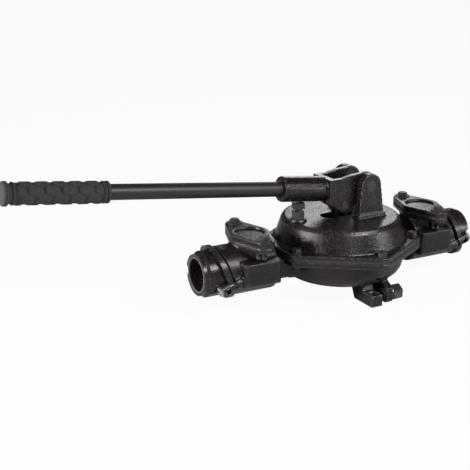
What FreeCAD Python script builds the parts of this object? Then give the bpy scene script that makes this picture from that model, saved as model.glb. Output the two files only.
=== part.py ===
"""Lever-operated single-diaphragm hand pump, in millimetres, +Z up.

The origin is midway between the two fixing holes, on the base plane under the bonnet's axis.
X is the line of flow, from the inlet port (-X) to the outlet port (+X),
and the lever swings in the XZ plane above the inlet side.
"""
import FreeCAD, Part
import math
import os

Vec = FreeCAD.Vector

# ---------------------------------------------------------------- fits
RUN_CLEAR = 0.05          # radial running clearance of every pin and shaft
SEAT_CLEAR = 0.3          # gap where a moving piece rests near its stop
THREAD_CLEAR = 0.02       # radial gap that stands for a made-up thread

# ---------------------------------------------------------------- bowl, bonnet and flange
BONNET_TOP_Z = 122.0
BONNET_TOP_R = 91.0
BONNET_EDGE_R = 5.0
BONNET_FOOT_R = 102.0
BONNET_WALL = 7.0
BONNET_FLANGE_T = 6.0
DIAPHRAGM_T = 3.5
BODY_FLANGE_T = 9.0
FLANGE_TOP_Z = 87.0
FLANGE_DISC_R = 104.5
BOLT_CIRCLE_R = 112.0
LUG_R = 12.5
DIAPHRAGM_TRIM = 1.2
BOLT_ANGLES = (30.0, 90.0, 158.0, 202.0, 270.0, 330.0)
CHAMBER_R = 84.0
BOWL_TOP_R = 98.0
BOWL_BOTTOM_R = 60.0
BOWL_BOTTOM_Z = 27.0
BOWL_SHOULDER_Z = 54.0
BOWL_WALL = 8.0
ROD_SLOT_R = 12.0
ROD_SLOT_X = (-22.0, 6.0)

# ---------------------------------------------------------------- base
FOOT_HOLE_R = 5.5
FOOT_HOLE_X = 6.0
FOOT_HOLE_Y = 86.0
REAR_FOOT_X = (-50.0, 62.0)
REAR_FOOT_Y = (70.0, 99.0)
REAR_FOOT_T = 13.0
REAR_WEB_HALF = 26.0
FRONT_FOOT_HALF = 10.0
FRONT_FOOT_END_Y = -97.0
FRONT_FOOT_T = 18.5
FOOT_ROOT_Y = 50.0
SPOT_FACE_R = 9.0
SPOT_FACE_DEPTH = 4.0
JAW_GAP = 10.0
JAW_T = 12.0
JAW_END_Y = -93.0
JAW_SCREW_Y = -82.0
JAW_SCREW_Z = 12.0
JAW_SCREW_FLATS = 22.0
JAW_SCREW_HEAD = 16.0
JAW_SCREW_STAND = 3.0

# ---------------------------------------------------------------- chests, valves and ports
PORT_AXIS_Z = 64.0
BARREL_R = 38.0
BARREL_BORE_R = 29.0
BARREL_START = 131.0
END_WALL = 8.0
LEDGE_HALF_Y = 50.0
LEDGE_END = 193.0
LEDGE_Z = (46.0, 84.0)
PASSAGE_HALF_Y = 28.0
PASSAGE_Z = (45.0, 75.0)
PASSAGE_FLARE = (98.0, 70.0, 56.0)
PASSAGE_BORE_HALF_Y = 18.0
PASSAGE_BORE_Z = (52.0, 68.0)
COVER_X = 161.0
COVER_SPAN = 46.0
COVER_MID_R = 30.0
COVER_END_R = 14.5
COVER_TOP_Z = 117.5
COVER_T = 7.5
COVER_RECESS_R = 22.5
COVER_RECESS_DEPTH = 3.5
GASKET_T = 1.5
CHEST_FLANGE_T = 8.0
CHEST_NECK_R = (27.0, 34.0)
ACCESS_R = 22.0
CHEST_RIB_T = 8.0
RIB_STAND_OFF = 3.5
JOINT_X = 207.0
JOINT_TILT = 17.0
JOINT_GASKET_T = 3.0
JOINT_FLANGE_R = 41.0
JOINT_FLANGE_T = 8.0
JOINT_BOLT_R = 36.5
JOINT_BOLT_ANGLE = -18.0
JOINT_BOSS_R = 9.0
JOINT_TAP = 14.0
WINDOW_DEPTH = 6.5
WINDOW_HALF = 7.0
WINDOW_FLOOR_R = 31.0
WINDOW_WEB = 4.0
SPIGOT_BODY_R = 34.5
SPIGOT_LIP_R = 31.0
SPIGOT_SHOULDER = 9.0
PORT_END = {-1.0: 249.0, 1.0: 240.0}
OUTLET_SHIFT = -8.0
PORT_BORE_R = 25.0
PORT_SOCKET = 26.0
PORT_INNER_R = 24.0
SEAT_HOLE_R = 16.5
SEAT_T = 5.0
FLAP_R = 19.8
FLAP_T = 4.0
FLAP_PLATE_R = 15.0
FLAP_PLATE_T = 5.0
FLAP_BACK_R = 11.0
FLAP_BACK_T = 2.5
FLAP_SCREW_R = 3.0
FLAP_PIN_R = 2.0
FLAP_EYE_R = 4.5
FLAP_EYE_UP = 22.5
FLAP_EYE_HALF = 8.0
FLAP_EAR_T = 5.0

# ---------------------------------------------------------------- fork of ears, lever and handle
PIVOT_X = 28.0
PIVOT_Z = 173.0
PIVOT_PIN_R = 8.0
EAR_OUTER_Y = 40.0
EAR_T = 14.0
EAR_TOP_R = 17.0
EAR_BASE_X = (7.0, 53.0)
EAR_PAD_RISE = 6.0
EAR_PAD_STEP = 2.0
CHEEK_OUTER_Y = 24.5
CHEEK_T = 8.0
CHEEK_PIVOT_R = 17.5
CHEEK_PIN_R = 11.5
BUSH_R = 10.5
BRIDGE_X = (-36.0, -26.5)
ROD_PIN_X = -9.0
ROD_PIN_Z = 143.0
ROD_PIN_R = 5.0
LEVER_AXIS_Z = 162.5
LEVER_RISE = 6.65
SOCKET_START = 26.5
SOCKET_END = 110.0
SOCKET_R = 19.25
TUBE_R = 11.1
TUBE_WALL = 2.0
TUBE_START = 46.0
TUBE_END = 521.0
GRIP_START = 381.5
GRIP_END = 528.5
GRIP_BODY_R = 15.6
GRIP_RING_R = 15.4
GRIP_NECK_R = 13.6
GRIP_FLANGE_R = 16.6

# ---------------------------------------------------------------- rod, plates and stop bolt
ROD_R = 7.0
ROD_EYE_R = 10.5
PLATE_R = 45.0
PLATE_T = 5.0
DIAPHRAGM_REST_Z = 61.0
STOP_X = -77.0
STOP_BOSS_R = 12.5
STOP_BOSS_H = 4.0
STOP_THREAD = 20.0
M8 = (13.0, 5.3, 6.5, 4.0)     # across flats, head height, nut height, shank radius
M12 = (18.0, 9.0, 12.0, 6.0)

# ---------------------------------------------------------------- sizes that follow
BODY_FLANGE_Z = FLANGE_TOP_Z - BONNET_FLANGE_T - DIAPHRAGM_T
BODY_FLANGE_LOW_Z = BODY_FLANGE_Z - BODY_FLANGE_T
CHEST_FLANGE_Z = COVER_TOP_Z - COVER_T - GASKET_T
STOP_SEAT_Z = BONNET_TOP_Z + STOP_BOSS_H
END_WALL_X = BARREL_START + END_WALL
FRONT_FOOT_X = (FOOT_HOLE_X - FRONT_FOOT_HALF, FOOT_HOLE_X + FRONT_FOOT_HALF)
CHEEK_INNER_Y = CHEEK_OUTER_Y - CHEEK_T
EAR_INNER_Y = EAR_OUTER_Y - EAR_T


# ---------------------------------------------------------------- small tools
def upright(radius, low, high, x=0.0, y=0.0):
    """A vertical cylinder between two heights."""
    return Part.makeCylinder(radius, high - low, Vec(x, y, low))


def block(xs, ys, zs):
    """A box between three pairs of limits."""
    size = (max(xs) - min(xs), max(ys) - min(ys), max(zs) - min(zs))
    return Part.makeBox(size[0], size[1], size[2], Vec(min(xs), min(ys), min(zs)))


def prism(points, direction):
    """A closed outline of points swept along a direction."""
    wire = Part.makePolygon(points + [points[0]])
    return Part.Face(wire).extrude(direction)


def hexagon(across_flats, centre, axis, height, turn=0.0):
    """A hexagonal prism that stands on centre and runs along axis."""
    radius = across_flats / math.sqrt(3.0)
    corners = []
    for i in range(6):
        angle = math.radians(60.0 * i + turn)
        corners.append(Vec(radius * math.cos(angle), radius * math.sin(angle), 0))
    shape = prism(corners, Vec(0, 0, height))
    shape.Placement = FreeCAD.Placement(centre, FreeCAD.Rotation(Vec(0, 0, 1), axis))
    return shape


def turned(points, centre=None, axis=None):
    """A solid of revolution from (radius, height) points, stood on centre along axis."""
    outline = [Vec(radius, 0, height) for radius, height in points]
    wire = Part.makePolygon(outline + [outline[0]])
    shape = Part.Face(wire).revolve(Vec(0, 0, 0), Vec(0, 0, 1), 360)
    if centre is not None:
        shape.Placement = FreeCAD.Placement(centre, FreeCAD.Rotation(Vec(0, 0, 1), axis))
    return shape


def fused(shapes):
    """One solid from overlapping shapes, with its split faces merged."""
    return shapes[0].multiFuse(shapes[1:]).removeSplitter()


def at(side, distance):
    """The X of a place on one port, given its distance from the middle."""
    return side * distance + (OUTLET_SHIFT if side > 0 else 0.0)


def ring_places():
    """The centre of each flange bolt."""
    places = []
    for angle in BOLT_ANGLES:
        turn = math.radians(angle)
        places.append((BOLT_CIRCLE_R * math.cos(turn), BOLT_CIRCLE_R * math.sin(turn), angle))
    return places


def save(node, shapes):
    """Write one sub-part, a single solid or a group of separate solids."""
    solids = []
    for shape in shapes:
        solids.extend(shape.Solids)
    result = solids[0] if len(solids) == 1 else Part.makeCompound(solids)
    result.exportStep("parts/%s.step" % node)
    volume = sum(solid.Volume for solid in solids)
    print("%-24s solids %2d volume %10.1f valid %s" % (node, len(solids), volume, result.isValid()))


# ---------------------------------------------------------------- flange outline
def lug_flange(low, high, trim=0.0):
    """A flange whose straight sides join round bolt lugs, drawn in by trim."""
    lug_r = LUG_R - trim
    places = ring_places()
    outline = []
    for first, second in zip(places, places[1:] + places[:1]):
        middle = math.radians((first[2] + second[2] + (360.0 if second[2] < first[2] else 0.0)) / 2.0)
        out = Vec(math.cos(middle), math.sin(middle), 0) * lug_r
        outline += [Vec(first[0], first[1], low) + out, Vec(second[0], second[1], low) + out]
    pieces = [upright(FLANGE_DISC_R - trim, low, high), prism(outline, Vec(0, 0, high - low))]
    pieces += [upright(lug_r, low, high, x, y) for x, y, _ in places]
    return fused(pieces)


def bolt_holes(low, high, radius):
    """The through-holes of the flange bolts."""
    return [upright(radius, low, high, x, y) for x, y, _ in ring_places()]


# ---------------------------------------------------------------- bonnet
def bonnet():
    """The cast bonnet with its two lever ears and its flange."""
    lean = (BONNET_FOOT_R - BONNET_TOP_R) / (BONNET_TOP_Z - FLANGE_TOP_Z)
    edge_z = BONNET_TOP_Z - BONNET_EDGE_R
    outer = [(0, BONNET_TOP_Z), (BONNET_TOP_R - BONNET_EDGE_R, BONNET_TOP_Z)]
    for i in range(1, 5):
        turn = math.radians(90.0 - 18.0 * i)
        radius = BONNET_TOP_R - BONNET_EDGE_R + BONNET_EDGE_R * math.cos(turn)
        outer.append((radius, edge_z + BONNET_EDGE_R * math.sin(turn)))
    outer.append((BONNET_TOP_R + lean * BONNET_EDGE_R, edge_z - BONNET_EDGE_R * 0.2))
    outer += [(BONNET_FOOT_R, FLANGE_TOP_Z), (BONNET_FOOT_R, FLANGE_TOP_Z - BONNET_FLANGE_T)]
    outer.append((0, FLANGE_TOP_Z - BONNET_FLANGE_T))
    shell = fused([turned(outer), lug_flange(FLANGE_TOP_Z - BONNET_FLANGE_T, FLANGE_TOP_Z)])
    roof = BONNET_TOP_Z - BONNET_WALL
    floor = FLANGE_TOP_Z - BONNET_FLANGE_T
    hollow = turned([(0, floor), (CHAMBER_R, floor), (CHAMBER_R, FLANGE_TOP_Z), (BONNET_TOP_R - 12.0, roof), (0, roof)])
    stop_boss = upright(STOP_BOSS_R, BONNET_TOP_Z - STOP_THREAD - 4.0, STOP_SEAT_Z, STOP_X, 0)
    shell = fused([shell.cut(hollow), stop_boss, lever_ear(1.0), lever_ear(-1.0)])
    cuts = [upright(ROD_SLOT_R, roof - 1.0, BONNET_TOP_Z + 1.0, x, 0) for x in ROD_SLOT_X]
    cuts.append(block(ROD_SLOT_X, (-ROD_SLOT_R, ROD_SLOT_R), (roof - 1.0, BONNET_TOP_Z + 1.0)))
    cuts.append(upright(M12[3] + THREAD_CLEAR, BONNET_TOP_Z - STOP_THREAD, STOP_SEAT_Z + 1.0, STOP_X, 0))
    cuts.append(Part.makeCylinder(PIVOT_PIN_R + THREAD_CLEAR, 4 * EAR_OUTER_Y,
                                  Vec(PIVOT_X, -2 * EAR_OUTER_Y, PIVOT_Z), Vec(0, 1, 0)))
    cuts += bolt_holes(floor - 1.0, FLANGE_TOP_Z + 1.0, M8[3] + SEAT_CLEAR)
    return shell.cut(Part.makeCompound(cuts))


def lever_ear(side):
    """One tapered ear with a round top about the pivot."""
    y_low = side * EAR_INNER_Y if side > 0 else side * EAR_OUTER_Y
    base_z = BONNET_TOP_Z - 1.0
    rise = PIVOT_Z - base_z
    points = [Vec(EAR_BASE_X[0], y_low, base_z)]
    for sign, base_x in ((-1.0, EAR_BASE_X[0]), (1.0, EAR_BASE_X[1])):
        run = abs(base_x - PIVOT_X)
        reach = math.hypot(run, rise)
        turn = math.atan2(rise, run) - math.acos(EAR_TOP_R / reach)
        touch = Vec(PIVOT_X + sign * EAR_TOP_R * math.cos(-turn), y_low, PIVOT_Z - EAR_TOP_R * math.sin(turn))
        points.append(touch)
    points.append(Vec(EAR_BASE_X[1], y_low, base_z))
    web = prism(points, Vec(0, EAR_T, 0))
    top = Part.makeCylinder(EAR_TOP_R, EAR_T, Vec(PIVOT_X, y_low, PIVOT_Z), Vec(0, 1, 0))
    pad_x = (EAR_BASE_X[0] - EAR_PAD_STEP, EAR_BASE_X[1] + EAR_PAD_STEP)
    pad_y = (y_low, y_low + EAR_T + EAR_PAD_STEP) if side > 0 else (y_low - EAR_PAD_STEP, y_low + EAR_T)
    pad = block(pad_x, pad_y, (base_z, BONNET_TOP_Z + EAR_PAD_RISE))
    return fused([web, top, pad])


# ---------------------------------------------------------------- pump body
def oval(x, low, high):
    """The outline of a valve cover: a round middle with a smaller round end each side."""
    lean = math.asin((COVER_MID_R - COVER_END_R) / COVER_SPAN)
    points = []
    for end, swing in ((1.0, 1.0), (1.0, -1.0), (-1.0, -1.0), (-1.0, 1.0)):
        for reach, radius in ((0.0, COVER_MID_R), (COVER_SPAN, COVER_END_R)):
            px = x + swing * radius * math.cos(lean)
            py = end * (reach + radius * math.sin(lean))
            points.append(Vec(px, py, low))
    ordered = [points[0], points[1], points[3], points[2], points[4], points[5], points[7], points[6]]
    pieces = [prism(ordered, Vec(0, 0, high - low)), upright(COVER_MID_R, low, high, x, 0)]
    for end in (1.0, -1.0):
        pieces.append(upright(COVER_END_R, low, high, x, end * COVER_SPAN))
    return fused(pieces)


def joint_frame(side):
    """Centre and outward normal of a port's slanted joint face."""
    tilt = math.radians(JOINT_TILT)
    normal = Vec(side * math.cos(tilt), 0, side * math.sin(tilt))
    return Vec(at(side, JOINT_X), 0, PORT_AXIS_Z), normal


def half_space(side, offset, outside):
    """A large block on one side of the joint face, moved outward by offset."""
    centre, normal = joint_frame(side)
    size = 200.0
    slab = Part.makeBox(size, size, size, Vec(-size / 2, -size / 2, 0))
    direction = normal if outside else normal * -1.0
    slab.Placement = FreeCAD.Placement(centre + normal * offset, FreeCAD.Rotation(Vec(0, 0, 1), direction))
    return slab


def joint_bolt_places(side):
    """The two joint bolts' axis points on the joint face, and the outward normal."""
    centre, normal = joint_frame(side)
    up = Vec(-normal.z, 0, normal.x) * side
    places = []
    for angle in (JOINT_BOLT_ANGLE, JOINT_BOLT_ANGLE + 180.0):
        turn = math.radians(angle)
        places.append(centre + Vec(0, -JOINT_BOLT_R * math.cos(turn), 0) + up * (JOINT_BOLT_R * math.sin(turn)))
    return places, normal


def along_port(side, radius, start, end):
    """A cylinder on a port's axis between two distances from the middle."""
    return Part.makeCylinder(radius, end - start, Vec(at(side, start), 0, PORT_AXIS_Z), Vec(side, 0, 0))


def chest_solid(side):
    """The outside of one valve chest with its barrel, ledge, neck and flange."""
    x = at(side, COVER_X)
    barrel = along_port(side, BARREL_R, BARREL_START, JOINT_X + 60.0).cut(half_space(side, 0.0, True))
    ledge = block((at(side, BARREL_START), at(side, LEDGE_END)), (-LEDGE_HALF_Y, LEDGE_HALF_Y), LEDGE_Z)
    upright_edges = [e for e in ledge.Edges if abs(e.Vertexes[0].Z - e.Vertexes[1].Z) > 1.0]
    low_edges = [e for e in ledge.Edges if e.BoundBox.ZMax < LEDGE_Z[0] + 1.0 and e.BoundBox.XLength > 1.0]
    ledge = ledge.makeFillet(9.0, upright_edges + low_edges)
    neck = Part.makeCone(CHEST_NECK_R[1], CHEST_NECK_R[0], CHEST_FLANGE_Z - LEDGE_Z[1] + 6.0,
                         Vec(x, 0, LEDGE_Z[1] - 6.0))
    pieces = [barrel, ledge, neck, oval(x, CHEST_FLANGE_Z - CHEST_FLANGE_T, CHEST_FLANGE_Z)]
    places, normal = joint_bolt_places(side)
    boss_length = JOINT_TAP + WINDOW_WEB
    pieces += [Part.makeCylinder(JOINT_BOSS_R, boss_length, place - normal * boss_length, normal) for place in places]
    for end in (1.0, -1.0):
        reach = (0.0, end * (COVER_SPAN - M8[3] - RIB_STAND_OFF))
        across = (x - CHEST_RIB_T / 2, x + CHEST_RIB_T / 2)
        pieces.append(block(across, reach, (LEDGE_Z[1] - 2.0, CHEST_FLANGE_Z - 1.0)))
    return fused(pieces)


def chest_hollow(side):
    """Every cut that a valve chest takes: its bores and its threads."""
    x = at(side, COVER_X)
    cuts = [along_port(side, BARREL_BORE_R, END_WALL_X, JOINT_X + 60.0)]
    cuts.append(upright(ACCESS_R, PORT_AXIS_Z, CHEST_FLANGE_Z + 1.0, x, 0))
    for end in (1.0, -1.0):
        cuts.append(upright(M8[3] + THREAD_CLEAR, LEDGE_Z[1] + 1.0, CHEST_FLANGE_Z + 1.0, x, end * COVER_SPAN))
    places, normal = joint_bolt_places(side)
    for place in places:
        cuts.append(Part.makeCylinder(M8[3] + THREAD_CLEAR, JOINT_TAP + 1.0, place - normal * JOINT_TAP, normal))
    return cuts


def passage(side, half_y, zs, start, flare):
    """A passage from the bowl to a chest, flared where it meets the bowl."""
    narrow, wide, wide_half = flare
    points = []
    for px, py in ((abs(at(side, start)), half_y), (narrow, half_y), (wide, wide_half)):
        points.append(Vec(side * px, py, zs[0]))
    points += [Vec(0, points[-1].y, zs[0]), Vec(0, -points[-1].y, zs[0])]
    points += [Vec(side * wide, -wide_half, zs[0]), Vec(side * narrow, -half_y, zs[0])]
    points.append(Vec(at(side, start), -half_y, zs[0]))
    return prism(points, Vec(0, 0, zs[1] - zs[0]))


def bowl_outline(offset, low, high):
    """The bowl's half section, drawn in by an offset, from its floor up."""
    points = [(0, low), (BOWL_BOTTOM_R - offset, low)]
    for i in range(1, 6):
        turn = math.radians(90.0 * i / 6.0)
        radius = BOWL_BOTTOM_R + (BOWL_TOP_R - BOWL_BOTTOM_R) * math.sin(turn) - offset
        points.append((radius, BOWL_SHOULDER_Z - (BOWL_SHOULDER_Z - low) * math.cos(turn)))
    points += [(BOWL_TOP_R - offset, BOWL_SHOULDER_Z), (BOWL_TOP_R - offset, high), (0, high)]
    return points


def feet():
    """Rear foot bar, front foot block and the jaw of the front clamp."""
    top = BOWL_BOTTOM_Z + 12.0
    rear = block(REAR_FOOT_X, REAR_FOOT_Y, (0, REAR_FOOT_T))
    corners = [e for e in rear.Edges if abs(e.Vertexes[0].Z - e.Vertexes[1].Z) > 1.0]
    pieces = [rear.makeFillet(8.0, corners)]
    rear_web = [(REAR_FOOT_Y[0] + 8.0, 0), (REAR_FOOT_Y[0], 0), (FOOT_ROOT_Y - 10.0, BOWL_BOTTOM_Z + 2.0)]
    rear_web += [(FOOT_ROOT_Y - 10.0, top + 14.0), (REAR_FOOT_Y[0] + 8.0, top + 14.0)]
    web = prism([Vec(-REAR_WEB_HALF, y, z) for y, z in rear_web], Vec(2 * REAR_WEB_HALF, 0, 0))
    pieces.append(web)
    low_x, high_x = FRONT_FOOT_X
    side = [(FRONT_FOOT_END_Y, 0), (-FOOT_ROOT_Y, 0), (14.0 - FOOT_ROOT_Y, BOWL_BOTTOM_Z + 2.0)]
    side += [(14.0 - FOOT_ROOT_Y, top), (-66.0, top), (-74.0, FRONT_FOOT_T), (FRONT_FOOT_END_Y, FRONT_FOOT_T)]
    pieces.append(prism([Vec(low_x, y, z) for y, z in side], Vec(high_x - low_x, 0, 0)))
    jaw_x = high_x + JAW_GAP
    jaw = [(JAW_END_Y, 3.0), (JAW_END_Y + 5.0, 0), (-FOOT_ROOT_Y - 6.0, 0)]
    jaw += [(14.0 - FOOT_ROOT_Y, BOWL_BOTTOM_Z + 2.0), (14.0 - FOOT_ROOT_Y, top), (-66.0, top)]
    jaw.append((JAW_END_Y, BOWL_BOTTOM_Z - 3.0))
    pieces.append(prism([Vec(jaw_x, y, z) for y, z in jaw], Vec(JAW_T, 0, 0)))
    return pieces


def feet_holes():
    """The fixing holes, the front spot face and the clamp screw's thread."""
    cuts = [upright(FOOT_HOLE_R, -1.0, REAR_FOOT_T + 1.0, -FOOT_HOLE_X, FOOT_HOLE_Y)]
    cuts.append(upright(FOOT_HOLE_R, -1.0, FRONT_FOOT_T + 1.0, FOOT_HOLE_X, -FOOT_HOLE_Y))
    cuts.append(upright(SPOT_FACE_R, FRONT_FOOT_T - SPOT_FACE_DEPTH, FRONT_FOOT_T + 30.0, FOOT_HOLE_X, -FOOT_HOLE_Y))
    start = Vec(FRONT_FOOT_X[1] + 1.0, JAW_SCREW_Y, JAW_SCREW_Z)
    cuts.append(Part.makeCylinder(M12[3] + THREAD_CLEAR, JAW_GAP + JAW_T, start, Vec(1, 0, 0)))
    return cuts


def pump_body():
    """The body casting: bowl, flange, passages, both valve chests and the feet."""
    pieces = [turned(bowl_outline(0.0, BOWL_BOTTOM_Z, BODY_FLANGE_Z))]
    pieces.append(lug_flange(BODY_FLANGE_LOW_Z, BODY_FLANGE_Z))
    pieces += feet()
    for side in (-1.0, 1.0):
        pieces.append(passage(side, PASSAGE_HALF_Y, PASSAGE_Z, END_WALL_X - 1.0, PASSAGE_FLARE))
        pieces.append(chest_solid(side))
    solid = fused(pieces)
    floor = BOWL_BOTTOM_Z + BOWL_WALL
    wall = BOWL_TOP_R - CHAMBER_R
    cuts = [turned(bowl_outline(wall, floor, BODY_FLANGE_Z + 1.0))]
    cuts += bolt_holes(BODY_FLANGE_LOW_Z - 1.0, BODY_FLANGE_Z + 1.0, M8[3] + SEAT_CLEAR)
    cuts += feet_holes()
    for side in (-1.0, 1.0):
        cuts.append(block((side * 60.0, at(side, END_WALL_X + 1.0)),
                          (-PASSAGE_BORE_HALF_Y, PASSAGE_BORE_HALF_Y), PASSAGE_BORE_Z))
        cuts += chest_hollow(side)
    for cut in cuts:
        solid = solid.cut(cut)
    return solid


# ---------------------------------------------------------------- ports
def joint_slice(side, radius, start, end):
    """The stretch of a round bar on the port's axis between two offsets of the joint face."""
    bar = along_port(side, radius, JOINT_X - 60.0, JOINT_X + 60.0)
    return bar.common(half_space(side, start, True)).common(half_space(side, end, False))


def port_spigot(side):
    """A port's spigot: slanted flange, body, lip and bore."""
    end = PORT_END[side]
    shoulder = end - SPIGOT_SHOULDER
    body = along_port(side, SPIGOT_BODY_R, JOINT_X - 30.0, shoulder)
    body = body.common(half_space(side, JOINT_GASKET_T, True))
    foot = Vec(at(side, shoulder), 0, PORT_AXIS_Z)
    taper = Part.makeCone(SPIGOT_BODY_R, SPIGOT_LIP_R, 4.0, foot, Vec(side, 0, 0))
    lip = along_port(side, SPIGOT_LIP_R, shoulder + 3.0, end)
    flange = joint_slice(side, JOINT_FLANGE_R, JOINT_GASKET_T, JOINT_GASKET_T + JOINT_FLANGE_T)
    places, normal = joint_bolt_places(side)
    seat = joint_head_seat()
    bosses = [Part.makeCylinder(JOINT_BOSS_R, seat - JOINT_GASKET_T, place + normal * JOINT_GASKET_T, normal)
              for place in places]
    spigot = fused([flange, body, taper, lip] + bosses)
    spigot = spigot.cut(along_port(side, PORT_INNER_R, JOINT_X - 60.0, end + 1.0))
    spigot = spigot.cut(along_port(side, PORT_BORE_R, end - PORT_SOCKET, end + 1.0))
    for place in places:
        spigot = spigot.cut(Part.makeCylinder(M8[3] + SEAT_CLEAR, seat + 1.0, place, normal))
        spigot = spigot.cut(Part.makeCylinder(M8[0] * 0.66, 30.0, place + normal * seat, normal))
        spigot = spigot.cut(joint_window(side, place, normal))
    return spigot


def joint_head_seat():
    """How far a joint bolt's head stands from the joint face."""
    return JOINT_GASKET_T + JOINT_FLANGE_T + WINDOW_DEPTH + WINDOW_WEB


def joint_window(side, place, normal):
    """The open window beside the spigot that shows a joint bolt's shank."""
    centre, _ = joint_frame(side)
    outward = place - centre
    outward.normalize()
    across = normal.cross(outward)
    foot = centre + outward * WINDOW_FLOOR_R + normal * (JOINT_GASKET_T + JOINT_FLANGE_T)
    corner = foot - across * WINDOW_HALF
    reach = outward * (2.0 * JOINT_BOSS_R + WINDOW_HALF)
    width = across * (2.0 * WINDOW_HALF)
    return prism([corner, corner + width, corner + width + reach, corner + reach], normal * WINDOW_DEPTH)


def port_seal(side):
    """The flat ring clamped in the slanted joint."""
    seal = joint_slice(side, JOINT_BOLT_R - M8[3] - 2.0 * SEAT_CLEAR, 0.0, JOINT_GASKET_T)
    return seal.cut(along_port(side, BARREL_BORE_R - 1.0, JOINT_X - 60.0, JOINT_X + 60.0))


def joint_fasteners(side):
    """The two hexagon bolts of one port joint."""
    places, normal = joint_bolt_places(side)
    seat = joint_head_seat()
    depth = JOINT_TAP - 2.0
    bolts = []
    for place in places:
        head = hexagon(M8[0], place + normal * seat, normal, M8[1])
        shank = Part.makeCylinder(M8[3], depth + seat + 1.0, place - normal * depth, normal)
        bolts.append(head.fuse(shank).removeSplitter())
    return bolts


# ---------------------------------------------------------------- valves
def valve_frame(side):
    """Centre of a valve's slanted seat face, its downstream normal and its upward direction."""
    tilt = math.radians(JOINT_TILT)
    normal = Vec(math.cos(tilt), 0, math.sin(tilt))
    up = Vec(-math.sin(tilt), 0, math.cos(tilt))
    drop = BARREL_BORE_R * math.tan(tilt)
    if side < 0:
        x = at(side, JOINT_X) + SEAT_T / math.cos(tilt)
    else:
        x = at(side, END_WALL_X) + SEAT_T + drop
    return Vec(x, 0, PORT_AXIS_Z), normal, up


def valve_seat(side):
    """A ring across the barrel's bore with a slanted face and two ears for the flap's pin."""
    centre, normal, up = valve_frame(side)
    radius = BARREL_BORE_R
    if side < 0:
        ring = joint_slice(side, radius - RUN_CLEAR, -SEAT_T, 0.0)
    else:
        ring = along_port(side, radius - RUN_CLEAR, END_WALL_X, END_WALL_X + 60.0)
        slab = Part.makeBox(200, 200, 200, Vec(-100, -100, 0))
        slab.Placement = FreeCAD.Placement(centre, FreeCAD.Rotation(Vec(0, 0, 1), normal * -1.0))
        ring = ring.common(slab)
    pin_at = centre + up * FLAP_EYE_UP + normal * (FLAP_T + FLAP_PLATE_T * 0.5)
    ears = []
    for end in (1.0, -1.0):
        y = end * (FLAP_EYE_HALF + SEAT_CLEAR)
        y_out = y + end * FLAP_EAR_T
        foot = centre + up * (FLAP_EYE_UP - 3.5) - normal * 2.0
        tip = foot + normal * (4.0 + FLAP_T + FLAP_PLATE_T)
        corners = [foot, tip, tip + up * 7.0, foot + up * 7.0]
        for corner in corners:
            corner.y = min(y, y_out)
        ears.append(prism(corners, Vec(0, FLAP_EAR_T, 0)))
    barrel = Part.makeCylinder(radius - RUN_CLEAR, 120.0, Vec(centre.x - 60.0, 0, PORT_AXIS_Z), Vec(1, 0, 0))
    ring = fused([ring] + [ear.common(barrel) for ear in ears])
    ring = ring.cut(Part.makeCylinder(SEAT_HOLE_R, 160.0, centre - normal * 80.0, normal))
    return ring.cut(Part.makeCylinder(FLAP_PIN_R + THREAD_CLEAR, 60.0, pin_at - Vec(0, 30, 0), Vec(0, 1, 0)))


def valve_flap(side):
    """The rubber flap, its plate with the hinge eye, its screw and the hinge pin."""
    centre, normal, up = valve_frame(side)
    lift = normal * (SEAT_CLEAR * 0.1)
    rubber = Part.makeCylinder(FLAP_R, FLAP_T, centre + lift, normal)
    pin_at = centre + up * FLAP_EYE_UP + normal * (FLAP_T + FLAP_PLATE_T * 0.5)
    plate_foot = centre + lift + normal * FLAP_T
    plate = Part.makeCylinder(FLAP_PLATE_R, FLAP_PLATE_T, plate_foot, normal)
    strap = [plate_foot, plate_foot + normal * FLAP_PLATE_T]
    strap += [strap[1] + up * FLAP_EYE_UP, strap[0] + up * FLAP_EYE_UP]
    for corner in strap:
        corner.y = -FLAP_EYE_HALF
    bar = prism(strap, Vec(0, 2 * FLAP_EYE_HALF, 0))
    eye = Part.makeCylinder(FLAP_EYE_R, 2 * FLAP_EYE_HALF, pin_at - Vec(0, FLAP_EYE_HALF, 0), Vec(0, 1, 0))
    clear = Part.makeCylinder(FLAP_PIN_R + RUN_CLEAR, 60.0, pin_at - Vec(0, 30, 0), Vec(0, 1, 0))
    notch = Part.makeCylinder(FLAP_EYE_R + SEAT_CLEAR, 60.0, pin_at - Vec(0, 30, 0), Vec(0, 1, 0))
    screw_hole = Part.makeCylinder(FLAP_SCREW_R, 60.0, centre - normal * 30.0, normal)
    plate = fused([plate, bar, eye]).cut(clear).cut(screw_hole)
    rubber = rubber.cut(notch).cut(screw_hole)
    back = Part.makeCylinder(FLAP_BACK_R, FLAP_BACK_T, centre + lift - normal * FLAP_BACK_T, normal)
    top = Part.makeCylinder(FLAP_SCREW_R * 1.8, 3.0, plate_foot + normal * FLAP_PLATE_T, normal)
    stem = Part.makeCylinder(FLAP_SCREW_R - THREAD_CLEAR, FLAP_T + FLAP_PLATE_T + 1.0, centre + lift, normal)
    screw = fused([back, stem, top])
    half = FLAP_EYE_HALF + SEAT_CLEAR + FLAP_EAR_T
    pin = Part.makeCylinder(FLAP_PIN_R, 2 * half - 2.0, pin_at - Vec(0, half - 1.0, 0), Vec(0, 1, 0))
    return rubber, plate, screw, pin, pin_at


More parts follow.
